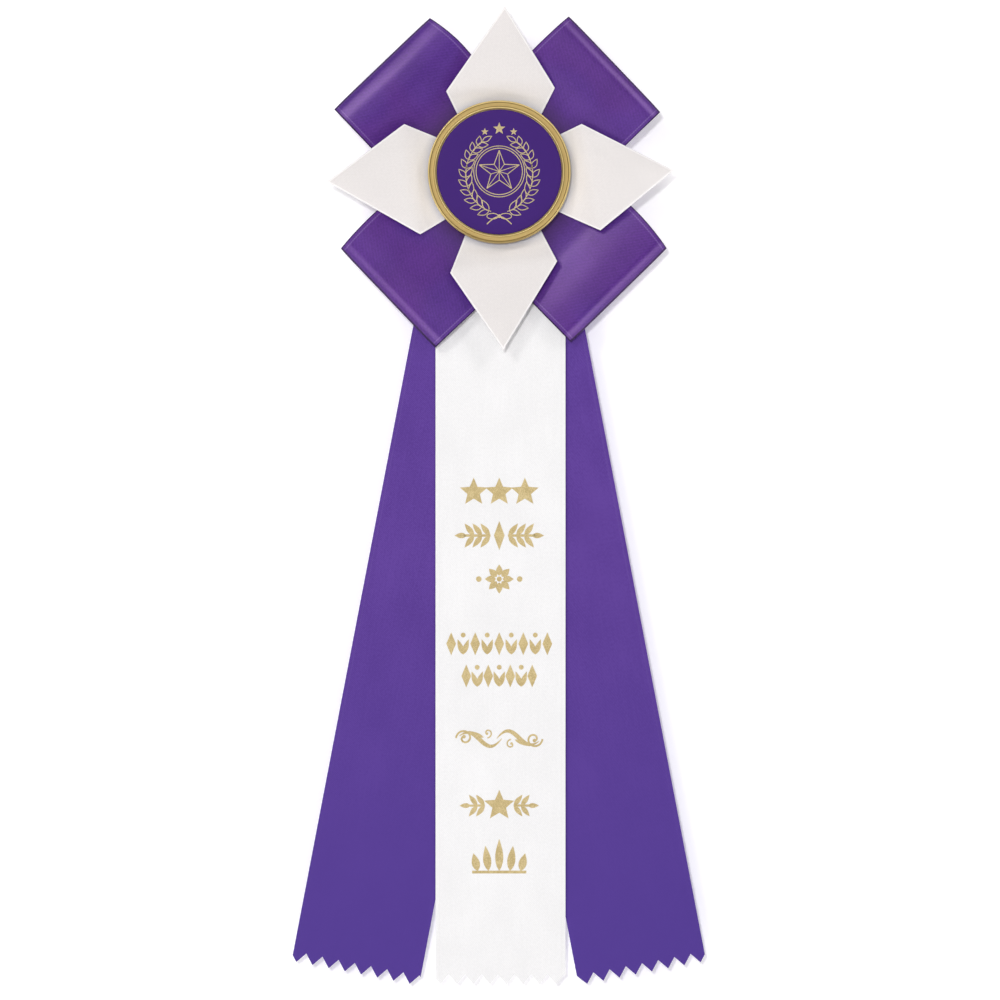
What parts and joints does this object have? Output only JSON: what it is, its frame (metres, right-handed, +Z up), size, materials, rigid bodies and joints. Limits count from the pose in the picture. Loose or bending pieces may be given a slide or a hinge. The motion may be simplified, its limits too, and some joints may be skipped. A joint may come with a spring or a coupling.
{
  "type": "award ribbon",
  "caption": "Award rosette with puffed satin loops and folded petals round a gold-rimmed button, with pinked streamers below and a bar pin behind.",
  "frame": {"origin": "where the bar pin holds the ribbon up: on the rosette's axis, at the back face of the back card", "axes": "+X to the right as seen from the front, +Y from the front to the back, +Z up; the front faces -Y and the streamers hang towards -Z"},
  "size_m": [0.1613, 0.0229, 0.3811],
  "materials": {
    "purple_satin": "satin",
    "white_satin": "satin",
    "back_paper": "matt",
    "card_board": "matt",
    "gold_metal": "brushed",
    "purple_print": "semi-gloss print",
    "foam_pad": "foam",
    "pin_steel": "nickel plated",
    "staple_wire": "bright wire"
  },
  "bodies": {
    "root": {"back_card": "back_paper", "base_card": "card_board", "button_back": "card_board", "button_pad": "foam_pad", "button_bezel": "gold_metal", "button_insert": "purple_print", "center_streamer_end": "white_satin", "left_streamer_end": "purple_satin", "right_streamer_end": "purple_satin", "loop_lower_left": "purple_satin", "loop_lower_right": "purple_satin", "loop_upper_left": "purple_satin", "loop_upper_right": "purple_satin", "petal_bottom": "white_satin", "petal_left": "white_satin", "petal_right": "white_satin", "petal_top": "white_satin", "staple_bottom": "staple_wire", "staple_left": "staple_wire", "staple_right": "staple_wire", "staple_top": "staple_wire", "pin_plate": "pin_steel", "pin_rivet": "pin_steel"},
    "center_streamer": {"center_streamer": "white_satin"},
    "left_streamer": {"left_streamer": "purple_satin"},
    "right_streamer": {"right_streamer": "purple_satin"},
    "pin_needle": {"pin_needle": "pin_steel"},
    "pin_catch": {"pin_catch": "pin_steel"}
  },
  "joints": [
    {"name": "center_streamer_lift", "type": "hinge", "parent": "root", "child": "center_streamer", "pos_m": [0, -0.0053, -0.07], "axis": [-1, 0, 0], "range_deg": [0, 70]},
    {"name": "left_streamer_lift", "type": "hinge", "parent": "root", "child": "left_streamer", "pos_m": [0, -0.0053, -0.07], "axis": [-1, 0, 0], "range_deg": [0, 56]},
    {"name": "right_streamer_lift", "type": "hinge", "parent": "root", "child": "right_streamer", "pos_m": [0, -0.0053, -0.07], "axis": [-1, 0, 0], "range_deg": [0, 56]},
    {"name": "pin_needle_swing", "type": "hinge", "parent": "root", "child": "pin_needle", "pos_m": [0.017, 0.004, 0], "axis": [0, 0, -1], "range_deg": [0, 70]},
    {"name": "pin_catch_turn", "type": "hinge", "parent": "root", "child": "pin_catch", "pos_m": [-0.015, 0.004, 0], "axis": [1, 0, 0], "range_deg": [0, 90]}
  ],
  "couplings": [
    {"joint": "left_streamer_lift", "follows": "center_streamer_lift", "ratio": 0.8},
    {"joint": "right_streamer_lift", "follows": "center_streamer_lift", "ratio": 0.8}
  ]
}
